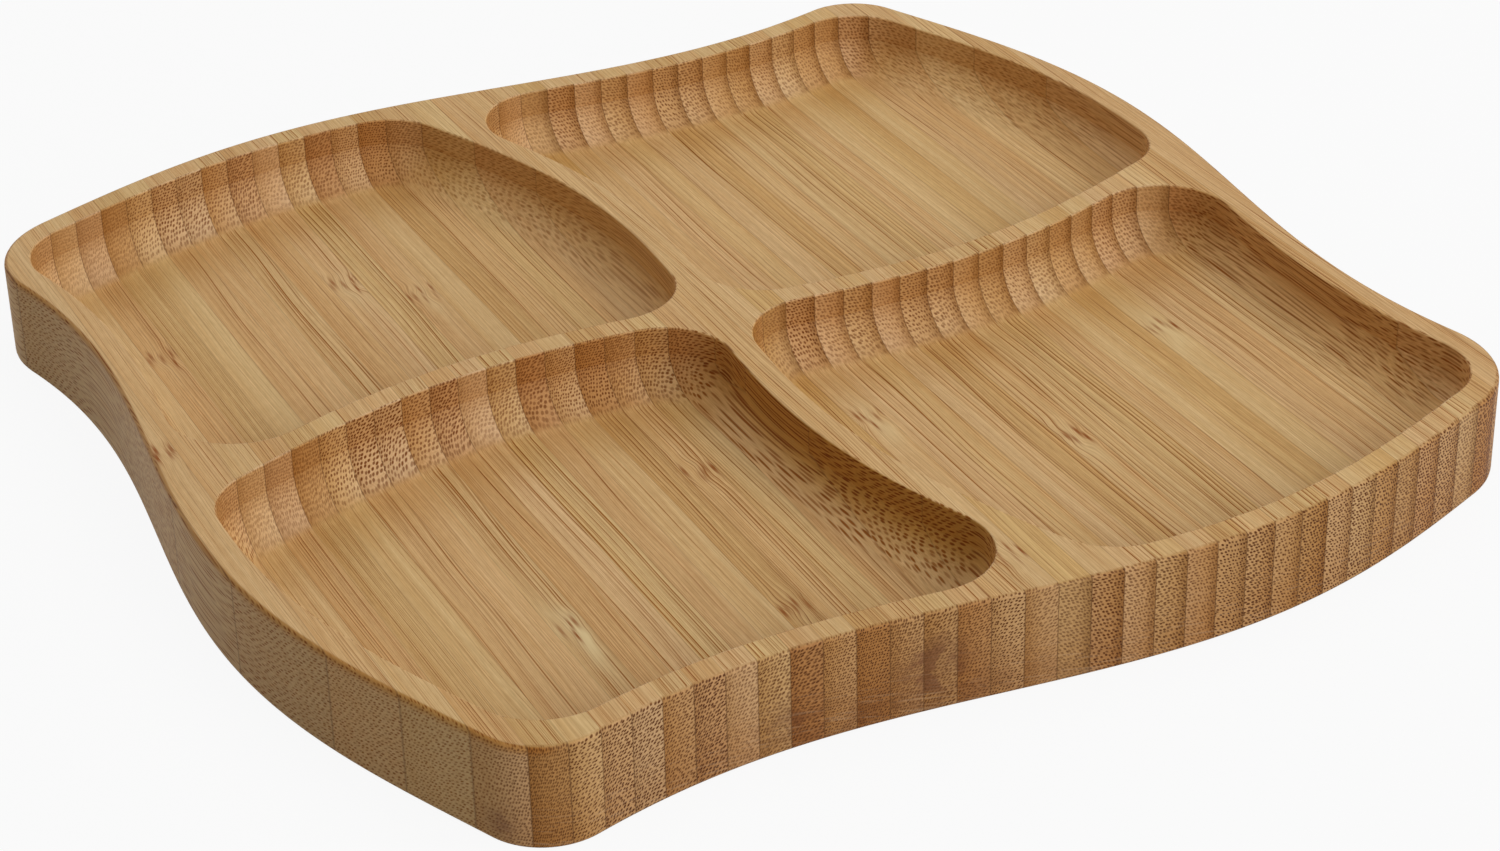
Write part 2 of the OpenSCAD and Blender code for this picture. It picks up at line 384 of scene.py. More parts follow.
class Graph:
    """Adds shader nodes to a material or a world and joins them."""

    def __init__(self, owner):
        owner.use_nodes = True
        self.tree = owner.node_tree
        self.tree.nodes.clear()

    def add(self, kind, **settings):
        node = self.tree.nodes.new(kind)
        for name, value in settings.items():
            setattr(node, name, value)
        return node

    def feed(self, socket, value):
        """Join a socket to another one, or set it to a plain value."""
        if isinstance(value, bpy.types.NodeSocket):
            self.tree.links.new(value, socket)
        else:
            socket.default_value = value

    def math(self, operation, *values):
        node = self.add("ShaderNodeMath", operation=operation)
        for socket, value in zip(node.inputs, values):
            self.feed(socket, value)
        return node.outputs[0]

    def product(self, *values):
        """All values multiplied together."""
        result = values[0]
        for value in values[1:]:
            result = self.math("MULTIPLY", result, value)
        return result

    def weighted(self, value, weight, start):
        """A value times its weight, added to a start."""
        return self.math("MULTIPLY_ADD", value, weight, start)

    def vector(self, x, y, z):
        node = self.add("ShaderNodeCombineXYZ")
        for socket, value in zip(node.inputs, (x, y, z)):
            self.feed(socket, value)
        return node.outputs[0]

    def parts(self, vector):
        node = self.add("ShaderNodeSeparateXYZ")
        self.feed(node.inputs[0], vector)
        return node.outputs[0], node.outputs[1], node.outputs[2]

    def attribute(self, name):
        return self.add("ShaderNodeAttribute", attribute_name=name)

    def traits(self, name):
        """The three values of a layer that every point of a strip shares."""
        return self.parts(self.attribute(name).outputs["Vector"])

    def noise(self, place, detail):
        node = self.add("ShaderNodeTexNoise")
        self.feed(node.inputs["Vector"], place)
        node.inputs["Scale"].default_value = 1.0
        node.inputs["Detail"].default_value = detail
        return node

    def grey_noise(self, place, detail):
        return self.noise(place, detail).outputs["Fac"]

    def cells(self, place, randomness):
        """Cells on a plane: the distance to the nearest middle and a random colour for each cell."""
        node = self.add("ShaderNodeTexVoronoi", voronoi_dimensions="2D")
        self.feed(node.inputs["Vector"], place)
        node.inputs["Scale"].default_value = 1.0
        node.inputs["Randomness"].default_value = randomness
        return node.outputs["Distance"], node.outputs["Color"]

    def row(self, place):
        """Cells side by side along one coordinate, with the same results."""
        node = self.add("ShaderNodeTexVoronoi", voronoi_dimensions="1D")
        self.feed(node.inputs["W"], place)
        node.inputs["Scale"].default_value = 1.0
        return node.outputs["Distance"], node.outputs["Color"]

    def smooth_step(self, value, start, end):
        """0 at start and 1 at end, with an eased slope between. The end may be the lower one."""
        node = self.add("ShaderNodeMapRange", interpolation_type="SMOOTHSTEP")
        self.feed(node.inputs["Value"], value)
        node.inputs["From Min"].default_value = start
        node.inputs["From Max"].default_value = end
        return node.outputs["Result"]

    def offset(self, value, middle, reach):
        """How far a value lies from a middle, as a share of a reach."""
        return self.math("DIVIDE", self.math("SUBTRACT", value, middle), reach)

    def centred(self, value):
        """A value of 0 to 1 moved down by half, to lie on both sides of 0."""
        return self.math("SUBTRACT", value, 0.5)

    def bell(self, *offsets):
        """1 where all offsets are 0, falling to nearly 0 past 2."""
        spread = 0.0
        for offset in offsets:
            spread = self.math("ADD", spread, self.math("POWER", offset, 2.0))
        return self.math("EXPONENT", self.math("MULTIPLY", spread, -1.0))

    def scaled(self, value, low, high):
        """A value of 0 to 1 spread over low to high."""
        return self.weighted(value, high - low, low)

    def mix(self, factor, a, b, blend="MIX"):
        node = self.add("ShaderNodeMix", data_type="RGBA", blend_type=blend)
        self.feed(node.inputs["Factor"], factor)
        self.feed(node.inputs["A"], a)
        self.feed(node.inputs["B"], b)
        return node.outputs["Result"]

    def tinted(self, share, colour, kept):
        """A colour that keeps only part of each channel where the share is 1."""
        return self.mix(share, colour, self.mix(1.0, colour, kept, "MULTIPLY"))


def linear(red, green, blue):
    """A screen colour of 0 to 255 as the linear colour that shaders use."""
    channels = []
    for value in (red, green, blue):
        share = value / 255
        channels.append(share / 12.92 if share <= 0.04045 else ((share + 0.055) / 1.055) ** 2.4)
    return (*channels, 1.0)


# Colours of each tone: soft ground, dense ground, streaks, soft end grain, dense end grain, dots
TONES = {
    "bamboo_light": [
        (219, 183, 130), (209, 164, 104), (154, 95, 36),
        (220, 183, 138), (202, 157, 103), (102, 57, 20)],
    "bamboo_honey": [
        (216, 178, 123), (205, 157, 96), (149, 89, 31),
        (215, 175, 126), (195, 147, 91), (96, 53, 17)],
    "bamboo_caramel": [
        (212, 172, 114), (199, 149, 86), (142, 82, 27),
        (209, 164, 112), (186, 136, 79), (90, 47, 14)],
}

# What the walls of the pockets keep of those colours: scooped, upright, and where they are a deeper gold
SCOOPED = (0.985, 0.945, 0.87, 1.0)
# Upright: painted shade on the upright walls of the pockets, which also gives them a more golden tone
UPRIGHT_PAINTED_SHADE = (0.88, 0.8, 0.68, 1.0)
AMBER = (0.77, 0.66, 0.36, 1.0)
FOOT_GOLD = (0.88, 0.81, 0.68, 1.0)

# What the sawn outer sides keep of those colours: on long grain, on end grain, at their foot,
# at the worn top edge and where scorched
OUTER_LONG = (0.78, 0.74, 0.68, 1.0)
OUTER_END = (0.9, 0.81, 0.69, 1.0)
OUTER_FOOT = (0.92, 0.86, 0.8, 1.0)
WORN_EDGE = (0.9, 0.74, 0.48, 1.0)
SCORCH = (0.5, 0.41, 0.44, 1.0)

# End grain of the palest and darkest strips, knuckles, glue lines and saw marks
FADED_END = linear(208, 178, 138)
CARAMEL_END = linear(182, 127, 70)
KNUCKLE_PALE = linear(228, 202, 150)
KNUCKLE_BROWN = linear(144, 80, 25)
JOINT_COLOUR = linear(96, 62, 32)
SAW_PALE = linear(206, 172, 136)

# In what follows a pair is where a smooth step starts and ends, or what a share gives at 0 and at 1.
# Shares of the outer sides give one value in the pockets and on top, and the other outside.

# Steps of the noises for each metre along X, Y and Z
DRIFT_RATES = (70, 14, 70)
SWERVE_RATES = (190, 85, 190)
PATCH_RATES = (30, 24, 60)
PORE_RATES = (2400, 330, 2400)
RAGGED_RATES = (260, 260, 420)
SAW_RATES = (130, 130, 2600)
SAW_SLANT = 420

# Steps of the noises that follow the bundles, for each bundle and for each metre along Y.
# Streaks fade by their own luck and the place along Y.
BAND_RATES = (0.45, 7.0)
FIBRE_RATES = (2.6, 20.0)
FADE_RATES = (90.0, 26.0)

# Each strip's own place in the noises and its own luck come from its seed times these
SEED_STEP = 13.7
HUE_DRAW = 3.77
LIVELY_DRAW = 7.31
DOT_SIZE_DRAW = 2.93
DOT_VIGOUR_DRAW = 5.13
GOLD_DRAW = 9.43

# The cut: how much a face looks along the fibres where end grain sets in and is full, and how flat
# a face is where it turns steep. In the pockets' coves end grain shows down to a low tilt.
END_FACING = (0.2, 0.85)
COVE_FACING = (0.4, 0.9)
COVE_TILT = (0.12, 0.38)
LEAST_TILT = 0.01
STEEP_FLATNESS = (0.992, 0.9)
SCOOPED_FLATNESS = (0.99, 0.6)
# The upright walls of the pockets get painted shade between these flatnesses
UPRIGHT_SHADE_FLATNESS = (0.6, 0.3)

# Fibre bundles: how many lie across a strip, how they crowd to its dense side, how far apart they lie
# through the thickness, and how far they drift and swerve
BUNDLES_ACROSS = 7.2
BUNDLES_CROWDING = 1.6
BUNDLE_RISE = 0.68 * MM
BUNDLE_SLANT = 0.5
BUNDLE_RANDOMNESS = 0.5
DRIFT_PUSH = 5.0
SWERVE_PUSH_ACROSS = (9.0, 4.0)
SWERVE_PUSH_UP = 3.0

# Ground of the long grain: darker bands, and a lean to the dense side
BAND_STEP = (0.34, 0.7)
BAND_SHARE = 0.35
LEAN_STEP = (0.3, 1.0)
LEAN_SHARE = 0.25

# Streaks and dots get softer between these places towards the back and towards the right
BACK_Y = (-10 * MM, 30 * MM)
RIGHT_X = (20 * MM, 60 * MM)
BACK_LINE_VIGOUR = (1.0, 0.75)
BACK_DOT_SHARE = 0.4
RIGHT_STEEP_SHARE = 0.4

# Streaks of the long grain: how many for each bundle, their edges, and what makes them strong or weak.
# On steep faces they are cut bundles: wider in the pockets than outside, and strong at the left front.
LINES_PER_BUNDLE = 1.3
LINE_EDGE = (0.36, 0.1)
LINE_LUCK_STEP = (0.3, 0.9)
LINE_VIGOUR = (0.3, 1.3)
LIVELY_VIGOUR = (0.5, 1.4)
BAND_VIGOUR = (0.6, 1.2)
FADE_STEP = (0.34, 0.62)
FADE_VIGOUR = (0.36, 1.0)
FINE_LINES_PER_BUNDLE = 2.3
FINE_EDGE = (0.26, 0.06)
FINE_LUCK_STEP = (0.4, 0.9)
FINE_FIBRE_STEP = (0.3, 0.6)
FINE_VIGOUR = 0.7
STEEP_EDGE = (0.38, 0.14)
STEEP_VIGOUR = (0.5, 1.0)
STEEP_WIDTHS = (1.15, 1.0)
POCKET_STEEP_VIGOUR = (1.25, 0.65)

# Ground of the end grain, and how far a strip's tone counts inside the pockets and outside
DENSE_SHARE = 0.45
PATCH_SHARE = 0.8
DENSITY_STEP = (0.25, 0.95)
TONE_SHARES = (0.55, 0.7)

# Dots of the end grain: edge, size, strength, and how the strength spreads inside the pockets
# and outside. In the pockets they are browner, softer low in the coves, and softer towards the back
# and the right.
DOT_EDGE = (0.45, 0.21)
DOT_SIZES = (0.88, 1.16)
DOT_VIGOUR = 0.95
DOT_SPREADS = (0.75, 0.5)
DOT_LUCK = (0.7, 1.0)
COVE_DOT_TILT = (0.2, 0.75)
COVE_DOT_VIGOUR = (0.55, 1.0)
SCORCHED_DOT_VIGOUR = (1.0, 0.45)
POCKET_DOT_VIGOUR = (0.92, 0.58)
POCKET_DOT_BROWN = (0.35, 0.0)

# Ragged edges of the scorches, the foot of the outer sides, and the worn top edge that looks to the left
RAGGED_STEP = (0.36, 0.6)
RAGGED_SHARE = (0.3, 1.0)
FOOT_HEIGHTS = (15 * MM, 1 * MM)
WORN_HEIGHTS = (17.8 * MM, 19.6 * MM)
WORN_FACING = (-0.15, -0.4)

# Where the amber and the gold set in, and how much gold a strip takes
AMBER_STEP = (0.15, 0.6)
AMBER_FLATNESS = (0.92, 0.4)
GOLD_SHARE = (0.6, 1.2)

# How far fibres, pores, patches and tones lighten and darken the grain, and where the dense side
# darkens the end grain
FIBRE_SHADE = 0.55
PORE_SHADE = 0.22
PATCH_SHADE = 0.14
TONE_SHADES = (0.03, 0.07)
EDGE_STEP = (0.6, 1.0)

# How red, green and blue follow the shade, as a power, and the strip's hue
CHANNEL_TINTS = [(1.0, 0.012), (1.25, -0.01), (1.7, 0.04)]

# Saw marks, and glue lines: edges as shares of a strip's width, widths inside and outside, and depths.
# Where a face runs almost along the strips, the lines are narrowed.
SAW_STEP = (0.56, 0.7)
SAW_SHARE = 0.22
JOINT_EDGE = (0.024, 0.004)
JOINT_WIDTHS = (1.0, 1.3)
JOINT_DEPTHS = (0.25, 0.6)
OUTER_JOINT_DEPTH = 0.42
JOINT_SLANT_GAIN = 2.2
LEAST_JOINT_SLANT = 0.2

# Finish
SPECULAR = 0.12
FIBRE_ROUGHNESS = (0.46, 0.62)
LINE_ROUGHNESS = 0.1
RELIEF_STRENGTH = 0.3
RELIEF_DEPTH = 0.1 * MM
LINE_RELIEF = -0.6
FIBRE_RELIEF = 0.5


class Bamboo:
    """Fibre bundles that run along Y: streaks on long grain and dots on end grain."""

    def __init__(self, slot):
        self.material = bpy.data.materials.new(slot)
        self.graph = Graph(self.material)
        colours = [linear(*colour) for colour in TONES[slot]]
        self.read_place()
        self.read_strip()
        self.read_cut()
        self.lay_bundles()
        self.scorch = self.scorches()
        long_colour = self.long_grain(*colours[:3])
        end_colour = self.end_grain(*colours[3:])
        colour = self.aged(long_colour, end_colour)
        colour = self.ambered(colour)
        colour = self.golden(colour)
        colour = self.shaded(colour)
        colour = self.knuckled(colour)
        colour = self.marked(colour)
        self.finish(self.jointed(colour))

    def read_place(self):
        """Place and direction of the surface, whether it is outside, and where its grain is softer."""
        graph = self.graph
        place = graph.add("ShaderNodeTexCoord")
        self.x, self.y, self.z = graph.parts(place.outputs["Object"])
        self.normal_x, normal_y, normal_z = graph.parts(place.outputs["Normal"])
        self.along_fibres = graph.math("ABSOLUTE", normal_y)
        self.flatness = graph.math("ABSOLUTE", normal_z)
        squares = [graph.math("POWER", part, 2.0) for part in (self.normal_x, normal_y)]
        self.tilt = graph.math("SQRT", graph.math("ADD", *squares))
        self.outer = graph.attribute("outer").outputs["Fac"]
        self.inner = graph.scaled(self.outer, 1.0, 0.0)
        self.back = graph.smooth_step(self.y, *BACK_Y)
        self.right = graph.smooth_step(self.x, *RIGHT_X)

    def read_strip(self):
        """Traits of the strip, and the share of the way across it from its soft to its dense side."""
        graph = self.graph
        self.seed, flip, self.tone = graph.traits("strip_traits")
        self.knuckle_y, self.paleness, _ = graph.traits("knuckle")
        self.edge_depth, self.across_factor, self.rise_factor = graph.traits("weave")
        self.seed_shift = graph.math("MULTIPLY", self.seed, SEED_STEP)
        across = graph.math("FRACT", graph.offset(self.x, STRIP_OFFSET, STRIP_WIDTH))
        turned = graph.weighted(across, -2.0, 1.0)
        self.radial = graph.weighted(flip, turned, across)
        self.to_joint = graph.math("MINIMUM", across, graph.math("SUBTRACT", 1.0, across))

    def read_cut(self):
        """How much of the cut goes across the fibres, how steep it is, and where it is sawn."""
        graph = self.graph
        plain = graph.smooth_step(self.along_fibres, *END_FACING)
        facing = graph.math("DIVIDE", self.along_fibres, graph.math("MAXIMUM", self.tilt, LEAST_TILT))
        cove = graph.product(
            graph.smooth_step(facing, *COVE_FACING),
            graph.smooth_step(self.tilt, *COVE_TILT),
            self.inner)
        self.end_share = graph.math("MAXIMUM", plain, cove)
        self.steep = graph.smooth_step(self.flatness, *STEEP_FLATNESS)
        self.sawn = graph.math("MULTIPLY", self.outer, self.end_share)
        self.foot = graph.math("MULTIPLY", self.outer, graph.smooth_step(self.z, *FOOT_HEIGHTS))

    def drawn(self, rate):
        """A number of 0 to 1 for each strip."""
        return self.graph.math("FRACT", self.graph.math("MULTIPLY", self.seed, rate))

    def stretched(self, x_rate, y_rate, z_rate):
        """Place with its own rate each way, moved by the strip's seed."""
        graph = self.graph
        return graph.vector(
            graph.weighted(self.x, x_rate, self.seed_shift),
            graph.math("MULTIPLY", self.y, y_rate),
            graph.math("MULTIPLY", self.z, z_rate))

    def pushes(self, *rates):
        """Two slow noises that push the bundles, across the strip and up."""
        noise = self.graph.noise(self.stretched(*rates), detail=1.0)
        across, up, _ = self.graph.parts(noise.outputs["Color"])
        return across, up

    def along_bundles(self, rate, y_rate):
        """Coordinates that follow the bundles and run slowly along the strip."""
        graph = self.graph
        return graph.vector(
            graph.math("MULTIPLY", self.bundle_u, rate),
            graph.math("MULTIPLY", self.y, y_rate),
            graph.math("MULTIPLY", self.bundle_v, rate))

    def pushed(self, start, drift, swerve, swerve_push):
        """A bundle coordinate that drifts along the strip and swerves at its knuckle."""
        graph = self.graph
        drifted = graph.weighted(graph.centred(drift), DRIFT_PUSH, start)
        push = graph.math("MULTIPLY", self.knuckle, swerve_push)
        return graph.weighted(graph.centred(swerve), push, drifted)

    def lay_bundles(self):
        """Coordinates and cells of the bundles, and the noises that go with them."""
        graph = self.graph
        self.from_knuckle = graph.math("SUBTRACT", self.y, self.knuckle_y)
        self.knuckle = graph.bell(graph.math("DIVIDE", self.from_knuckle, SWERVE_REACH))
        drift_x, drift_z = self.pushes(*DRIFT_RATES)
        self.swerve_x, swerve_z = self.pushes(*SWERVE_RATES)
        crowding = graph.weighted(self.radial, BUNDLES_CROWDING, BUNDLES_ACROSS)
        number = graph.math("MULTIPLY", crowding, self.across_factor)
        crowded = graph.weighted(self.radial, number, self.seed_shift)
        risen = graph.math("DIVIDE", self.z, graph.math("MULTIPLY", self.rise_factor, BUNDLE_RISE))
        push_across = graph.scaled(self.paleness, *SWERVE_PUSH_ACROSS)
        self.bundle_u = self.pushed(crowded, drift_x, self.swerve_x, push_across)
        self.bundle_v = self.pushed(risen, drift_z, swerve_z, SWERVE_PUSH_UP)
        slanted = graph.weighted(self.bundle_v, BUNDLE_SLANT, self.bundle_u)
        self.distance, chance = graph.cells(
            graph.vector(slanted, self.bundle_v, 0.0), BUNDLE_RANDOMNESS)
        self.luck, _, _ = graph.parts(chance)
        bands = graph.grey_noise(self.along_bundles(*BAND_RATES), detail=2.0)
        self.band = graph.smooth_step(bands, *BAND_STEP)
        self.fibres = graph.grey_noise(self.along_bundles(*FIBRE_RATES), detail=2.0)
        self.patches = graph.grey_noise(self.stretched(*PATCH_RATES), detail=2.0)

    def flat_streaks(self):
        """Streaks of flat long grain, each strong or weak, that fade in and out along the strip."""
        graph = self.graph
        distance, chance = graph.row(graph.math("MULTIPLY", self.bundle_u, LINES_PER_BUNDLE))
        luck, line_seed, _ = graph.parts(chance)
        seed_rate, y_rate = FADE_RATES
        fade_place = graph.vector(
            graph.math("MULTIPLY", line_seed, seed_rate), graph.math("MULTIPLY", self.y, y_rate), 0.0)
        fade = graph.smooth_step(graph.grey_noise(fade_place, detail=1.0), *FADE_STEP)
        return graph.product(
            graph.smooth_step(distance, *LINE_EDGE),
            graph.scaled(graph.smooth_step(luck, *LINE_LUCK_STEP), *LINE_VIGOUR),
            graph.scaled(self.drawn(LIVELY_DRAW), *LIVELY_VIGOUR),
            graph.scaled(self.band, *BAND_VIGOUR),
            graph.scaled(fade, *FADE_VIGOUR),
            graph.scaled(self.steep, 1.0, 0.0))

    def fine_streaks(self):
        """Thinner streaks of flat long grain."""
        graph = self.graph
        distance, chance = graph.row(graph.math("MULTIPLY", self.bundle_u, FINE_LINES_PER_BUNDLE))
        luck, _, _ = graph.parts(chance)
        return graph.product(
            graph.smooth_step(distance, *FINE_EDGE),
            graph.smooth_step(luck, *FINE_LUCK_STEP),
            graph.smooth_step(self.fibres, *FINE_FIBRE_STEP),
            graph.scaled(self.steep, FINE_VIGOUR, 0.0))

    def long_grain(self, ground, dense_ground, streak):
        """Colour where the cut runs along the fibres."""
        graph = self.graph
        leaning = graph.math("MULTIPLY", graph.smooth_step(self.radial, *LEAN_STEP), LEAN_SHARE)
        base = graph.mix(graph.weighted(self.band, BAND_SHARE, leaning), ground, dense_ground)
        flat = graph.math("MAXIMUM", self.flat_streaks(), self.fine_streaks())
        flat = graph.math("MULTIPLY", flat, graph.scaled(self.back, *BACK_LINE_VIGOUR))
        widened = graph.math("DIVIDE", self.distance, graph.scaled(self.outer, *STEEP_WIDTHS))
        right = graph.math("MULTIPLY", self.right, RIGHT_STEEP_SHARE)
        softer = graph.math("MAXIMUM", self.back, right)
        pocket_vigour = graph.math("MULTIPLY", graph.scaled(softer, *POCKET_STEEP_VIGOUR), self.inner)
        steep = graph.product(
            graph.smooth_step(widened, *STEEP_EDGE),
            self.steep,
            graph.scaled(self.luck, *STEEP_VIGOUR),
            graph.math("MAXIMUM", self.outer, pocket_vigour))
        self.line = graph.math("MAXIMUM", flat, steep)
        return graph.mix(self.line, base, streak)

    def scorches(self):
        """Ragged marks where the saw has scorched the front side."""
        graph = self.graph
        depths = 0.0
        for middle_x, middle_z, reach_x, reach_z, depth in SCORCHES:
            off_x = graph.offset(self.x, middle_x, reach_x)
            off_z = graph.offset(self.z, middle_z, reach_z)
            mark = graph.math("MULTIPLY", graph.bell(off_x, off_z), depth)
            depths = graph.math("MAXIMUM", depths, mark)
        front = graph.math("LESS_THAN", self.y, SCORCH_LIMIT)
        edges = graph.grey_noise(self.stretched(*RAGGED_RATES), detail=3.0)
        ragged = graph.scaled(graph.smooth_step(edges, *RAGGED_STEP), *RAGGED_SHARE)
        return graph.product(depths, front, self.sawn, ragged)

    def dots(self):
        """Dots of the bundles on end grain, stronger on some strips and softer low in the coves."""
        graph = self.graph
        size = graph.scaled(self.drawn(DOT_SIZE_DRAW), *DOT_SIZES)
        strip_luck = graph.centred(self.drawn(DOT_VIGOUR_DRAW))
        back = graph.math("MULTIPLY", self.back, BACK_DOT_SHARE)
        softer = graph.math("MAXIMUM", back, self.right)
        return graph.product(
            graph.smooth_step(graph.math("DIVIDE", self.distance, size), *DOT_EDGE),
            graph.weighted(strip_luck, graph.scaled(self.outer, *DOT_SPREADS), DOT_VIGOUR),
            graph.scaled(graph.smooth_step(self.tilt, *COVE_DOT_TILT), *COVE_DOT_VIGOUR),
            graph.scaled(self.scorch, *SCORCHED_DOT_VIGOUR),
            graph.math("MAXIMUM", self.outer, graph.scaled(softer, *POCKET_DOT_VIGOUR)),
            graph.scaled(self.luck, *DOT_LUCK))

    def end_grain(self, ground, dense_ground, dot):
        """Colour where the cut runs across the fibres."""
        graph = self.graph
        patchy = graph.math("MULTIPLY", self.patches, PATCH_SHARE)
        density = graph.weighted(self.radial, DENSE_SHARE, patchy)
        base = graph.mix(graph.smooth_step(density, *DENSITY_STEP), ground, dense_ground)
        tone_share = graph.scaled(self.outer, *TONE_SHARES)
        for sign, colour in ((1.0, FADED_END), (-1.0, CARAMEL_END)):
            amount = graph.math("MAXIMUM", graph.math("MULTIPLY", self.tone, sign), 0.0)
            base = graph.mix(graph.math("MULTIPLY", amount, tone_share), base, colour)
        dot_colour = graph.mix(graph.scaled(self.outer, *POCKET_DOT_BROWN), dot, KNUCKLE_BROWN)
        return graph.mix(self.dots(), base, dot_colour)

    def aged(self, long_colour, end_colour):
        """Both grains together, darker on the outer sides and the pockets' walls, with painted shade on
        upright walls.
        """
        graph = self.graph
        long_colour = graph.tinted(self.outer, long_colour, OUTER_LONG)
        end_colour = graph.tinted(self.outer, end_colour, OUTER_END)
        end_colour = graph.tinted(self.foot, end_colour, OUTER_FOOT)
        colour = graph.mix(self.end_share, long_colour, end_colour)
        worn = graph.product(
            graph.smooth_step(self.z, *WORN_HEIGHTS),
            graph.smooth_step(self.normal_x, *WORN_FACING),
            self.outer)
        colour = graph.tinted(worn, colour, WORN_EDGE)
        # The scooped walls get only a tint, and the upright walls get painted shade
        for flatness, kept in ((SCOOPED_FLATNESS, SCOOPED), (UPRIGHT_SHADE_FLATNESS, UPRIGHT_PAINTED_SHADE)):
            wall = graph.math("MULTIPLY", graph.smooth_step(self.flatness, *flatness), self.inner)
            colour = graph.tinted(wall, colour, kept)
        return colour

    def ambered(self, colour):
        """A deeper gold on the wall between the left and right pockets."""
        graph = self.graph
        reach_x, reach_y = AMBER_REACH
        off_x = graph.math("DIVIDE", self.x, reach_x)
        amber = 0.0
        for middle_y, share in AMBERS.items():
            place = graph.bell(off_x, graph.offset(self.y, middle_y, reach_y))
            patch = graph.math("MULTIPLY", graph.smooth_step(place, *AMBER_STEP), share)
            amber = graph.math("MAXIMUM", amber, patch)
        steepness = graph.smooth_step(self.flatness, *AMBER_FLATNESS)
        return graph.tinted(graph.product(amber, steepness, self.inner), colour, AMBER)

    def golden(self, colour):
        """Gold at the foot of the pockets' back walls, measured in the frame of the waves."""
        graph = self.graph
        along, aside = math.cos(WAVE_TURN), math.sin(WAVE_TURN)
        wave_x = graph.weighted(self.x, along, graph.math("MULTIPLY", self.y, aside))
        wave_y = graph.weighted(self.y, along, graph.math("MULTIPLY", self.x, -aside))
        near = 0.0
        for level, inset in ((LEVELS[1], DIVIDER_WIDTH / 2), (LEVELS[2], RIM_WIDTH)):
            phase = graph.offset(wave_x, level.shift, WAVE_LENGTH / (2 * math.pi))
            wall_y = graph.weighted(graph.math("SINE", phase), -WAVE_HEIGHT, level.middle - inset)
            ahead = graph.math("SUBTRACT", wall_y, wave_y)
            starting = graph.smooth_step(ahead, *GOLD_START)
            ending = graph.smooth_step(ahead, *GOLD_END)
            near = graph.math("MAXIMUM", near, graph.math("MULTIPLY", starting, ending))
        gold = graph.product(
            near,
            graph.math("GREATER_THAN", self.z, GOLD_BOTTOM),
            graph.smooth_step(self.z, *GOLD_TOP),
            graph.scaled(self.drawn(GOLD_DRAW), *GOLD_SHARE),
            self.inner)
        return graph.tinted(gold, colour, FOOT_GOLD)

    def shaded(self, colour):
        """Fine fibres, pores, slow patches and the tone of the strip lighten and darken the grain."""
        graph = self.graph
        shade = graph.weighted(graph.centred(self.fibres), FIBRE_SHADE, 1.0)
        pores = graph.grey_noise(self.stretched(*PORE_RATES), detail=1.0)
        shade = graph.weighted(graph.centred(pores), PORE_SHADE, shade)
        shade = graph.weighted(self.tone, graph.scaled(self.outer, *TONE_SHADES), shade)
        edge = graph.product(graph.smooth_step(self.radial, *EDGE_STEP), self.end_share, self.edge_depth)
        shade = graph.math("SUBTRACT", shade, edge)
        shade = graph.weighted(graph.centred(self.patches), PATCH_SHADE, shade)
        hue = graph.scaled(self.drawn(HUE_DRAW), -1.0, 1.0)
        channels = [
            graph.product(graph.math("POWER", shade, power), graph.weighted(hue, hue_share, 1.0))
            for power, hue_share in CHANNEL_TINTS]
        return graph.mix(1.0, colour, graph.vector(*channels), "MULTIPLY")

    def knuckled(self, colour):
        """Short brown dashes at the knuckle, and a pale flame at some."""
        graph = self.graph
        flame_x = graph.offset(self.radial, graph.math("SUBTRACT", 1.0, self.swerve_x), FLAME_WIDTH)
        flame_y = graph.offset(self.from_knuckle, FLAME_AHEAD, FLAME_REACH)
        pale = graph.smooth_step(self.paleness, *FLAME_PALENESS)
        flame = graph.math("MULTIPLY", graph.bell(flame_x, flame_y), pale)
        colour = graph.mix(flame, colour, KNUCKLE_PALE)
        distance, chance = graph.row(graph.weighted(self.radial, DASHES_ACROSS, self.seed_shift))
        along, luck, _ = graph.parts(chance)
        middle = graph.math("MULTIPLY", graph.centred(along), DASH_SPREAD)
        dash = graph.product(
            graph.smooth_step(distance, *DASH_EDGE),
            graph.bell(graph.offset(self.from_knuckle, middle, DASH_REACH)),
            graph.scaled(luck, *DASH_VIGOUR),
            graph.scaled(self.end_share, DASH_SHARE, 0.0))
        return graph.mix(dash, colour, KNUCKLE_BROWN)

    def marked(self, colour):
        """Scorches, and fine pale saw marks low down."""
        graph = self.graph
        colour = graph.tinted(self.scorch, colour, SCORCH)
        x_rate, y_rate, z_rate = SAW_RATES
        place = graph.vector(
            graph.math("MULTIPLY", self.x, x_rate),
            graph.math("MULTIPLY", self.y, y_rate),
            graph.weighted(self.z, z_rate, graph.math("MULTIPLY", self.x, SAW_SLANT)))
        lines = graph.smooth_step(graph.grey_noise(place, detail=1.0), *SAW_STEP)
        return graph.mix(graph.product(lines, self.foot, self.sawn, SAW_SHARE), colour, SAW_PALE)

    def jointed(self, colour):
        """Glue lines between the strips, kept narrow where a face runs almost along the strips."""
        graph = self.graph
        sideways = graph.math("POWER", self.normal_x, 2.0)
        breadth = graph.math("SQRT", graph.math("SUBTRACT", 1.0, sideways))
        slant = graph.math("MINIMUM", graph.math("MULTIPLY", breadth, JOINT_SLANT_GAIN), 1.0)
        slant = graph.math("MAXIMUM", slant, LEAST_JOINT_SLANT)
        width = graph.math("MULTIPLY", graph.scaled(self.outer, *JOINT_WIDTHS), slant)
        line = graph.smooth_step(graph.math("DIVIDE", self.to_joint, width), *JOINT_EDGE)
        outer_depth = graph.math("MULTIPLY", self.outer, OUTER_JOINT_DEPTH)
        depth = graph.math("MAXIMUM", graph.scaled(self.end_share, *JOINT_DEPTHS), outer_depth)
        return graph.mix(graph.math("MULTIPLY", line, depth), colour, JOINT_COLOUR)

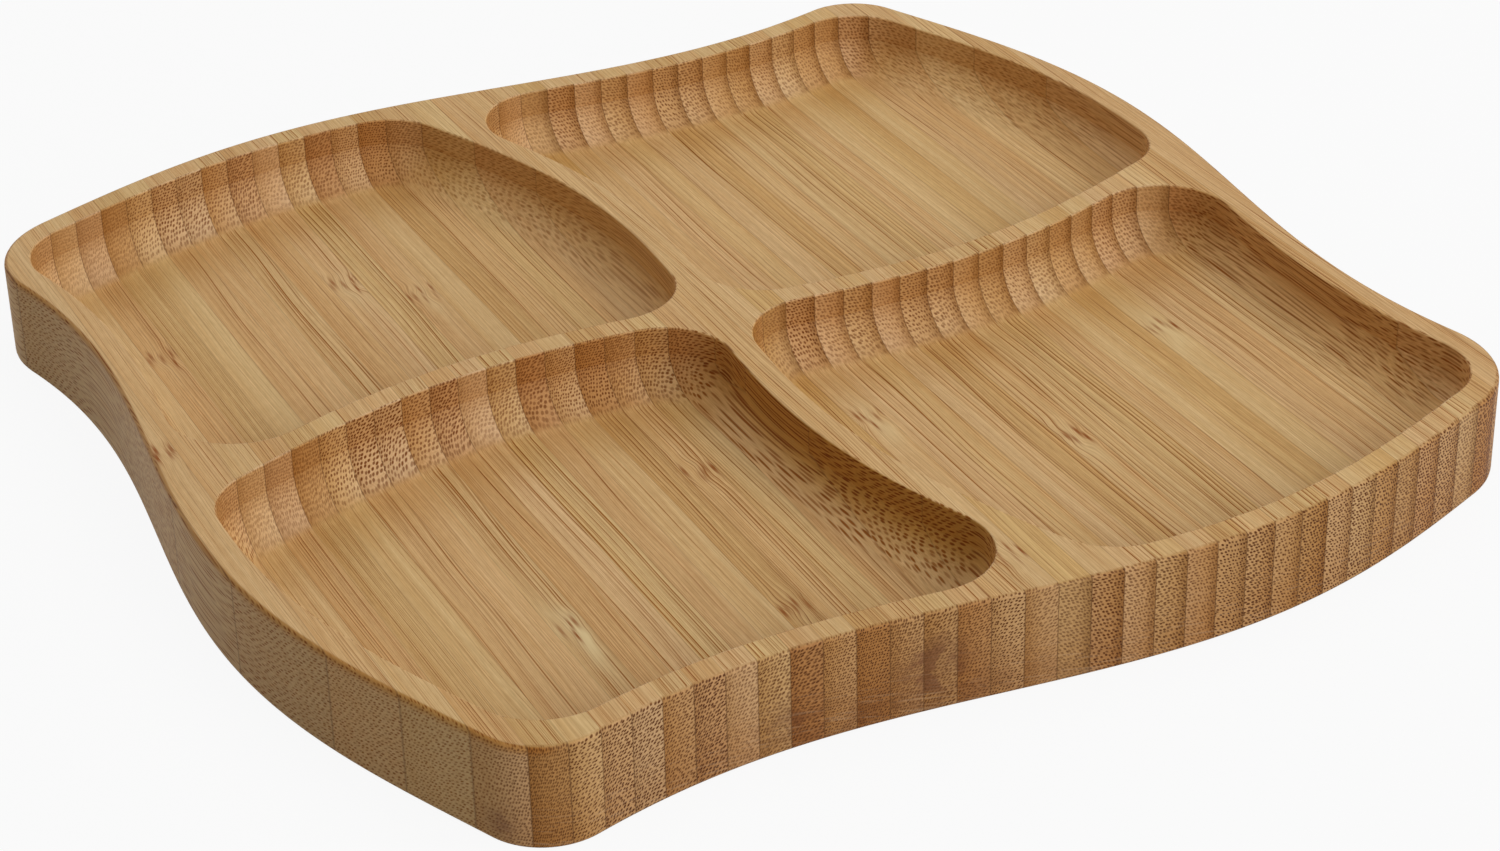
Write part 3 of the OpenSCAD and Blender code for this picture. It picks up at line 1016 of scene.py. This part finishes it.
    def finish(self, colour):
        """A satin surface with shallow relief along the streaks."""
        graph = self.graph
        surface = graph.add("ShaderNodeBsdfPrincipled")
        graph.feed(surface.inputs["Base Color"], colour)
        fibre_roughness = graph.scaled(self.fibres, *FIBRE_ROUGHNESS)
        roughness = graph.weighted(self.line, LINE_ROUGHNESS, fibre_roughness)
        graph.feed(surface.inputs["Roughness"], roughness)
        surface.inputs["Specular IOR Level"].default_value = SPECULAR
        relief = graph.add("ShaderNodeBump")
        relief.inputs["Strength"].default_value = RELIEF_STRENGTH
        relief.inputs["Distance"].default_value = RELIEF_DEPTH
        fibre_height = graph.math("MULTIPLY", self.fibres, FIBRE_RELIEF)
        height = graph.weighted(self.line, LINE_RELIEF, fibre_height)
        graph.feed(relief.inputs["Height"], height)
        graph.feed(surface.inputs["Normal"], relief.outputs["Normal"])
        output = graph.add("ShaderNodeOutputMaterial")
        graph.feed(output.inputs["Surface"], surface.outputs["BSDF"])


def finish_strip(mesh, name, layers):
    """Turn a cut strip into an object that carries its own traits for the grain."""
    bmesh.ops.recalc_face_normals(mesh, faces=mesh.faces[:])
    data = bpy.data.meshes.new(name)
    mesh.to_mesh(data)
    mesh.free()
    for layer, values in layers.items():
        attribute = data.attributes.new(layer, "FLOAT_VECTOR", "POINT")
        attribute.data.foreach_set("vector", list(values) * len(data.vertices))
    piece = bpy.data.objects.new(name, data)
    bpy.context.scene.collection.objects.link(piece)
    return piece


def build_strips():
    """One dressed piece for each strip of the frame."""
    nodes = sorted(frame["nodes"])
    slots = {part["node"]: part["material_slot"] for part in frame["record"]["subparts"]}
    materials = {slot: Bamboo(slot).material for slot in TONES}
    joints = [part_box(node)[0].x for node in nodes[1:]]
    chance = random.Random(SEED)
    for number, (node, mesh) in enumerate(zip(nodes, split_strips(build_plate(), joints)), start=1):
        dense_on_left = number <= LAST_DENSE_ON_LEFT
        edge_shade = LEFT_EDGE_SHADE if dense_on_left else RIGHT_EDGE_SHADE
        layers = {
            "strip_traits": (chance.uniform(0, SEED_RANGE), float(dense_on_left), END_TONES[number - 1]),
            "knuckle": (*KNUCKLES.get(number, NO_KNUCKLE), 0.0),
            "weave": (edge_shade, *next(weave for last, weave in WEAVES.items() if number <= last)),
        }
        piece = finish_strip(mesh, f"bamboo_{number:02d}", layers)
        piece.data.materials.append(materials[slots[node]])
        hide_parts(node)
        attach(piece, "root")


# Studio: the floor and the light from all round
FLOOR_SIZE = 6.0
FLOOR_DROP = 0.2 * MM
FLOOR_COLOUR = (0.6, 0.6, 0.6, 1.0)
FLOOR_GLOW = 0.92
WHITE = (1.0, 1.0, 1.0, 1.0)
AMBIENT_STRENGTH = 0.32

# Lamps: place, size and power
LAMPS = {
    "overhead": ((0.3, 0.05, 0.75), 0.7, 2.05),
    "front": ((0.6, -1.8, 0.9), 1.2, 20.0),
    "back": ((-0.5, 1.8, 0.5), 1.2, 5.5),
}


def seen_directly(graph):
    """1 for rays that show the background itself: from the camera, a mirror or glass."""
    rays = graph.add("ShaderNodeLightPath")
    plain = graph.math("MAXIMUM", rays.outputs["Is Camera Ray"], rays.outputs["Is Glossy Ray"])
    return graph.math("MAXIMUM", plain, rays.outputs["Is Transmission Ray"])


def build_floor():
    """A pale floor that keeps the plate's shadow and looks white around it."""
    data = bpy.data.meshes.new("floor")
    half = FLOOR_SIZE / 2
    sides = [(-half, -half), (half, -half), (half, half), (-half, half)]
    data.from_pydata([(x, y, -FLOOR_DROP) for x, y in sides], [], [(0, 1, 2, 3)])
    floor = bpy.data.objects.new("floor", data)
    bpy.context.scene.collection.objects.link(floor)
    material = bpy.data.materials.new("floor_paper")
    graph = Graph(material)
    paper = graph.add("ShaderNodeBsdfDiffuse")
    paper.inputs["Color"].default_value = FLOOR_COLOUR
    glow = graph.add("ShaderNodeEmission")
    share = graph.math("MULTIPLY", seen_directly(graph), FLOOR_GLOW)
    blend = graph.add("ShaderNodeMixShader")
    graph.feed(blend.inputs[0], share)
    graph.feed(blend.inputs[1], paper.outputs["BSDF"])
    graph.feed(blend.inputs[2], glow.outputs["Emission"])
    output = graph.add("ShaderNodeOutputMaterial")
    graph.feed(output.inputs["Surface"], blend.outputs["Shader"])
    data.materials.append(material)


def build_world():
    """Even light from all round, with plain white where the background shows."""
    world = bpy.data.worlds.new("studio")
    bpy.context.scene.world = world
    graph = Graph(world)
    light = graph.add("ShaderNodeBackground")
    light.inputs["Color"].default_value = WHITE
    light.inputs["Strength"].default_value = AMBIENT_STRENGTH
    white = graph.add("ShaderNodeBackground")
    white.inputs["Color"].default_value = WHITE
    white.inputs["Strength"].default_value = 1.0
    blend = graph.add("ShaderNodeMixShader")
    graph.feed(blend.inputs[0], seen_directly(graph))
    graph.feed(blend.inputs[1], light.outputs["Background"])
    graph.feed(blend.inputs[2], white.outputs["Background"])
    output = graph.add("ShaderNodeOutputWorld")
    graph.feed(output.inputs["Surface"], blend.outputs["Shader"])


def build_lamps():
    """Large soft lamps that face the plate."""
    for name, (place, size, power) in LAMPS.items():
        light = bpy.data.lights.new(name, "AREA")
        light.shape = "SQUARE"
        light.size = size
        light.energy = power
        lamp = bpy.data.objects.new(name, light)
        lamp.location = place
        lamp.rotation_euler = Vector(place).to_track_quat("Z", "Y").to_euler()
        bpy.context.scene.collection.objects.link(lamp)


# Camera: width of the picture and focal length in its pixels, direction, roll, distance and aim
IMAGE_WIDTH = 1500
FOCAL_PIXELS = 3574
SENSOR_WIDTH = 36.0
CAMERA_AZIMUTH = math.radians(-26.17)
CAMERA_ELEVATION = math.radians(29.93)
CAMERA_ROLL = math.radians(1.37)
CAMERA_DISTANCE = 0.6514
CAMERA_AIM = Vector((-0.0163, -0.0437, 0.020))


def build_camera():
    """A camera at the photograph's viewing angle."""
    back = Vector((
        math.sin(CAMERA_AZIMUTH) * math.cos(CAMERA_ELEVATION),
        -math.cos(CAMERA_AZIMUTH) * math.cos(CAMERA_ELEVATION),
        math.sin(CAMERA_ELEVATION),
    ))
    level = Vector((0, 0, 1)).cross(back).normalized()
    rise = back.cross(level)
    right = math.cos(CAMERA_ROLL) * level - math.sin(CAMERA_ROLL) * rise
    up = math.sin(CAMERA_ROLL) * level + math.cos(CAMERA_ROLL) * rise
    data = bpy.data.cameras.new("camera")
    data.sensor_fit = "HORIZONTAL"
    data.sensor_width = SENSOR_WIDTH
    data.lens = FOCAL_PIXELS / IMAGE_WIDTH * SENSOR_WIDTH
    camera = bpy.data.objects.new("camera", data)
    turn = Matrix((right, up, back)).transposed().to_4x4()
    camera.matrix_world = Matrix.Translation(CAMERA_AIM + CAMERA_DISTANCE * back) @ turn
    bpy.context.scene.collection.objects.link(camera)
    bpy.context.scene.camera = camera


build_camera()
build_strips()
build_floor()
build_world()
build_lamps()
bpy.context.scene.view_settings.view_transform = "Standard"
